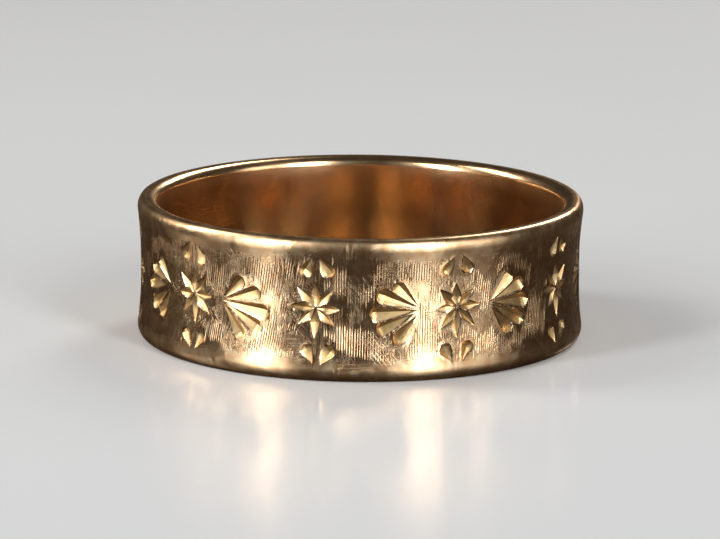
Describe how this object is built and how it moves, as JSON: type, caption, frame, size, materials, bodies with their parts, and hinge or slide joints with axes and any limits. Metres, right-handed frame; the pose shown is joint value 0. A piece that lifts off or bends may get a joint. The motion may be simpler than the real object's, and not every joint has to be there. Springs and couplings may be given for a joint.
{
  "type": "wedding band",
  "caption": "Wide gold wedding band with rounded rims, its outer face hand engraved with stars, fans of flutes and leaves.",
  "frame": {"origin": "centre of the ring, in the plane of the lower edge it stands on", "axes": "+Z along the finger's axis, up; -Y is the front, where the picture looks from"},
  "size_m": [0.0192, 0.0192, 0.006],
  "materials": {
    "engraved_gold": "worn polish, bright-cut engraving",
    "rim_gold": "worn polish",
    "solder": "filed flush and polished"
  },
  "bodies": {
    "root": {"band_strip": "engraved_gold", "upper_rim_wire": "rim_gold", "lower_rim_wire": "rim_gold", "solder_seam": "solder"}
  },
  "joints": []
}
